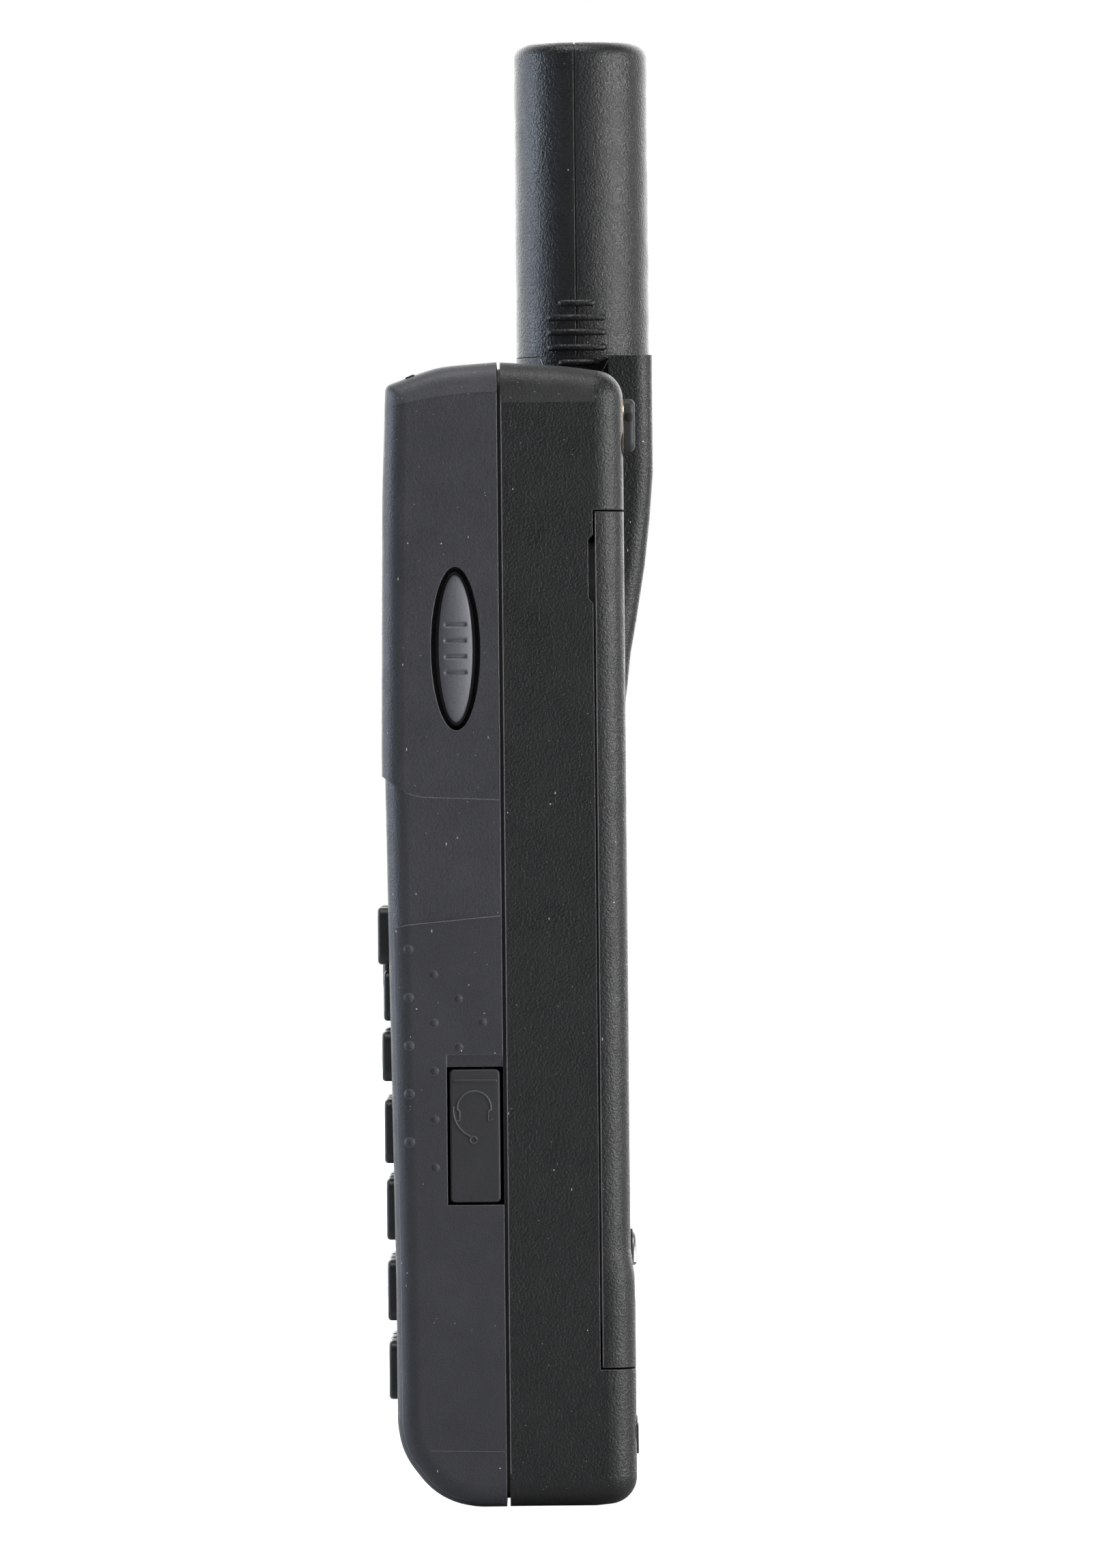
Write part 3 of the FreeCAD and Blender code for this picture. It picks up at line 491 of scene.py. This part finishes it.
def socket_details():
    """A brass collar behind the rubber tab and a small moulded eye on the tab's edge."""
    low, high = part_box("antenna_port_cover")
    middle = Vector(((low[0] + high[0]) / 2, 0, (low[2] + high[2]) / 2))
    bm = bmesh.new()
    outer, inner = 3.9, 3.2
    back = SEAM_Y + 18.42 * MM
    front = back + 0.26 * MM
    rings = []
    for radius, y in ((outer, back), (outer, front), (inner, front), (inner, back)):
        rings.append([bm.verts.new((middle[0] + radius * MM * math.cos(turn), y,
                                    middle[2] + radius * MM * math.sin(turn)))
                      for turn in turns(48)])
    for one, two in zip(rings, rings[1:]):
        bridge(bm, one, two)
    piece("socket_collar", bm, "brass", "phone")
    bm = bmesh.new()
    eye = Vector((high[0], low[1] + 0.7 * MM, middle[2] + 1.2 * MM))
    pill(bm, eye, Z, Y, X, 1.5, 1.2, 0.12)
    piece("socket_cover_eye", bm, "black_part", "antenna_port_cover")


socket_details()

# ---- rubber covers ----

def arc(centre, radius, start, end, steps=16):
    """Points of an arc on a side face; angles in degrees from the back, turning upwards."""
    x, y, z = centre
    angles = [math.radians(start + (end - start) * i / steps) for i in range(steps + 1)]
    return [at(x, y + radius * math.cos(angle), z + radius * math.sin(angle)) for angle in angles]


def headset_cover_details():
    """A plain headset pictogram and a lip, standing a little out of the rubber cover; the pictogram's lines
    are paler than the rubber, a painted highlight.
    """
    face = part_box("headset_cover")[1][0] / MM

    def line(name, points):
        tube("headset_" + name, points, 0.15, "raised_line_painted_highlight", "headset_cover")

    line("band", arc((face, -4.6, 59.3), 2.5, -8, 188))
    line("pad_front", [at(face, y, z) for y, z in
                       ((-7.08, 59.1), (-6.75, 58.8), (-6.75, 57.5), (-7.35, 57.35))])
    line("pad_rear", [at(face, y, z) for y, z in
                      ((-2.12, 59.1), (-2.5, 58.8), (-2.5, 57.35), (-1.65, 57.75))])
    line("boom", arc((face, -3.4, 59.0), 4.3, 172, 246))
    line("tip", arc((face, -4.75, 54.55), 0.5, 0, 345, 20))
    bm = bmesh.new()
    pill(bm, at(face, -4.45, 63.3), Y, Z, X, 6.6, 0.45, 0.15)
    piece("headset_lip", bm, "cover_rubber", "headset_cover")


headset_cover_details()

# ---- edges and mould lines ----

def edge_lines():
    """A pale line along each sharp edge and along the faint mould line: a painted highlight."""
    seam_x, cover_x, inset = 26.58, 26.575, 0.2
    seam = [at(seam_x, 0.33, z) for z in range(5, 166)]
    tube("seam_edge", seam, 0.08, "painted_edge_highlight", "phone")
    cover_low, cover_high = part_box("battery_cover")
    edge_y = cover_low[1] + 0.10 * MM
    low, high = cover_low[2] / MM + inset, cover_high[2] / MM - inset
    cover = [Vector((cover_x * MM, edge_y, (low + (high - low) * i / 100) * MM)) for i in range(101)]
    tube("cover_edge", cover, 0.075, "painted_edge_highlight", "battery_cover")
    mould = [side_point(["grip_panel_right"], -0.5 - 0.3 * i, 8.3 + 0.006 * i) for i in range(38)]
    tube("mould_line", [point for point in mould if point], 0.035, "painted_edge_highlight", "phone")


def grip_rims():
    """The raised rim along the top of each grip, found by stepping down until the side is met, drawn as a
    pale wire that paints its highlight.
    """
    search_top, search_end, search_step = 89.0, 78.0, 0.06
    for node, word, side in (("grip_panel_right", "right", 1), ("grip_panel_left", "left", -1)):
        points = []
        for i in range(46):
            y, z = -0.5 - 0.34 * i, search_top
            place = None
            while place is None and z > search_end:
                z -= search_step
                place = side_point([node], y, z, side)
            if place:
                points.append(place - X * side * 0.03 * MM)
        tube("grip_rim_" + word, points, 0.085, "painted_edge_highlight", "phone")


edge_lines()
grip_rims()

# ---- key printing ----

def label(node, text, size, shift=(0.0, 0.0)):
    """Characters printed on the face of a key. size and shift in mm."""
    sunk = 0.005
    curve = bpy.data.curves.new(node + "_text", "FONT")
    curve.body = text
    curve.size = size * MM
    curve.extrude = 0.03 * MM
    curve.align_x = "CENTER"
    curve.align_y = "CENTER"
    curve.resolution_u = 6
    holder = bpy.data.objects.new(node + "_text", curve)
    holder.rotation_euler = (math.pi / 2, 0, 0)
    holder.location = face_centre(node) + Vector((shift[0], sunk, shift[1])) * MM
    name = node + ("_print" if shift == (0.0, 0.0) else "_print_small")
    piece(name, baked(holder), "print_white", node)


def key_faces():
    """Digits, letters and signs, and the pip on key 5."""
    letters = {"2": "ABC", "3": "DEF", "4": "GHI", "5": "JKL", "6": "MNO", "7": "PQRS", "8": "TUV",
               "9": "WXYZ", "0": "+"}
    for digit in "1234567890":
        node = "key_" + digit
        label(node, digit, 5.2, (-3.1, 0.1))
        if digit in letters:
            label(node, letters[digit], 2.3 if len(letters[digit]) < 4 else 2.05, (2.3, -0.2))
    label("key_star", "*", 6.4, (0.0, -0.9))
    label("key_hash", "#", 4.6)
    bm = bmesh.new()
    place = face_centre("key_5")
    place.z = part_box("key_5")[0][2] + 3.9 * MM
    pill(bm, place, X, Z, -Y, 1.0, 0.7, 0.28)
    piece("key_5_pip", bm, "key_plastic", "key_5")


def handset_icon(node, material, turn):
    """A plain handset outline: a bar with two end pads."""
    centre = face_centre(node)
    along = Vector((math.cos(turn), 0, math.sin(turn)))
    across = Vector((-math.sin(turn), 0, math.cos(turn)))
    bm = bmesh.new()
    pill(bm, centre + across * 0.5 * MM, along, across, -Y, 5.4, 0.9, 0.06)
    for side in (-1, 1):
        spot = centre + along * side * 2.1 * MM - across * 0.15 * MM
        pill(bm, spot, across, along, -Y, 1.9, 1.3, 0.07)
    piece(node + "_icon", bm, material, node)


def arrow(bm, centre, towards, size):
    """A small raised triangle that points along towards."""
    across = towards.cross(Y)
    corners = [centre + towards * size * MM, centre + across * size * 0.8 * MM,
               centre - across * size * 0.8 * MM]
    low = [bm.verts.new(c + Y * 0.05 * MM) for c in corners]
    high = [bm.verts.new(c - Y * 0.05 * MM) for c in corners]
    bm.faces.new(high)
    bm.faces.new(low)
    bridge(bm, low, high)


def nav_marks():
    """Four arrows round the select key, a dash on each soft key, and the menu and back marks."""
    middle = face_centre("nav_key")
    middle.z = face_centre("select_key").z
    bm = bmesh.new()
    for towards, reach in ((X, 6.2), (-X, 6.2), (Z, 5.3), (-Z, 5.3)):
        arrow(bm, middle + towards * reach * MM, towards, 1.1)
    piece("nav_arrows", bm, "print_white", "nav_key")
    for node in ("soft_key_left", "soft_key_right"):
        bm = bmesh.new()
        pill(bm, face_centre(node) + Y * 0.03 * MM, X, Z, -Y, 4.2, 0.6, 0.05)
        piece(node + "_mark", bm, "print_white", node)
    label("back_key", "C", 3.6)
    bm = bmesh.new()
    for row in (-1, 0, 1):
        pill(bm, face_centre("menu_key") + Z * row * 1.1 * MM, X, Z, -Y, 3.6, 0.5, 0.05)
    piece("menu_key_mark", bm, "print_white", "menu_key")


key_faces()
handset_icon("call_key", "print_green", math.radians(35))
handset_icon("end_key", "print_red", 0.0)
nav_marks()

# ---- studio ----

def studio():
    """A pale floor, a sky that is brighter on the far side, and four soft lamps."""
    scene = bpy.context.scene
    scene.view_settings.view_transform = "Standard"
    world = bpy.data.worlds.new("studio_world")
    world.use_nodes = True
    tree = world.node_tree
    backdrop = tree.nodes["Background"]
    direction = tree.nodes.new("ShaderNodeTexCoord")
    parts = tree.nodes.new("ShaderNodeSeparateXYZ")
    tree.links.new(direction.outputs["Generated"], parts.inputs["Vector"])
    shade = tree.nodes.new("ShaderNodeMapRange")
    shade.interpolation_type = "SMOOTHSTEP"
    for socket, value in (("From Min", -0.3), ("From Max", -0.95), ("To Min", 0.01), ("To Max", 4.0)):
        shade.inputs[socket].default_value = value
    tree.links.new(parts.outputs["X"], shade.inputs["Value"])
    seen = tree.nodes.new("ShaderNodeLightPath")
    level = tree.nodes.new("ShaderNodeMix")
    level.data_type = "FLOAT"
    tree.links.new(seen.outputs["Is Camera Ray"], level.inputs["Factor"])
    tree.links.new(shade.outputs["Result"], level.inputs[2])
    level.inputs[3].default_value = 1.0
    tree.links.new(level.outputs[0], backdrop.inputs["Strength"])
    backdrop.inputs["Color"].default_value = (1.0, 1.0, 1.0, 1.0)
    scene.world = world
    bpy.ops.mesh.primitive_plane_add(size=6.0, location=(0.0, 0.0, 0.0))
    floor = bpy.context.object
    floor.name = "floor"
    paper = Shader("floor_paper", 0.9)
    tone = paper.mix(paper.ramp(paper.noise(40.0, 3.0), 0.0, 1.0), (0.5, 0.5, 0.5), (0.54, 0.54, 0.54))
    paper.bump(paper.noise(0.8, 3.0), 0.01)
    paper.bsdf.inputs["Emission Color"].default_value = (1.0, 1.0, 1.0, 1.0)
    seen_direct = paper.node("LightPath").outputs["Is Camera Ray"]
    paper.link(seen_direct, paper.bsdf.inputs["Emission Strength"])
    floor.data.materials.append(paper.done(tone))

    def lamp(name, place, target, size, power, colour=(1.0, 1.0, 1.0)):
        light = bpy.data.lights.new(name, "AREA")
        light.shape = "RECTANGLE"
        light.size, light.size_y = size
        light.energy = power
        light.color = colour
        holder = bpy.data.objects.new(name, light)
        holder.location = place
        holder.rotation_euler = (Vector(target) - Vector(place)).to_track_quat("-Z", "Y").to_euler()
        scene.collection.objects.link(holder)

    middle = (0.0, 0.0, 0.11)
    lamp("rear_side_light", (0.42, 1.0, 0.2), middle, (0.25, 0.9), 14.0)
    lamp("rear_fill_light", (0.86, 0.60, 0.2), middle, (0.25, 0.9), 3.7)
    lamp("front_side_light", (-0.15, -1.1, 0.25), middle, (0.35, 0.9), 12.0, (0.74, 0.84, 1.0))
    lamp("top_light", (0.25, -0.1, 1.1), middle, (0.4, 0.4), 5.0)


def camera():
    """A long lens that looks at the phone's right-hand side, as in the photograph."""
    lens, distance = 299.5, 1.95
    data = bpy.data.cameras.new("camera")
    data.lens = lens
    data.sensor_width = 36.0
    data.clip_end = 20.0
    holder = bpy.data.objects.new("camera", data)
    look_at = Vector((0.010, 0.00472, 0.1072))
    holder.location = look_at + Vector((distance, 0.0, 0.0))
    roll = math.radians(0.55)
    holder.rotation_euler = (look_at - holder.location).to_track_quat("-Z", "Y").to_euler()
    holder.rotation_euler.rotate_axis("Z", -roll)
    bpy.context.scene.collection.objects.link(holder)
    bpy.context.scene.camera = holder


studio()
camera()
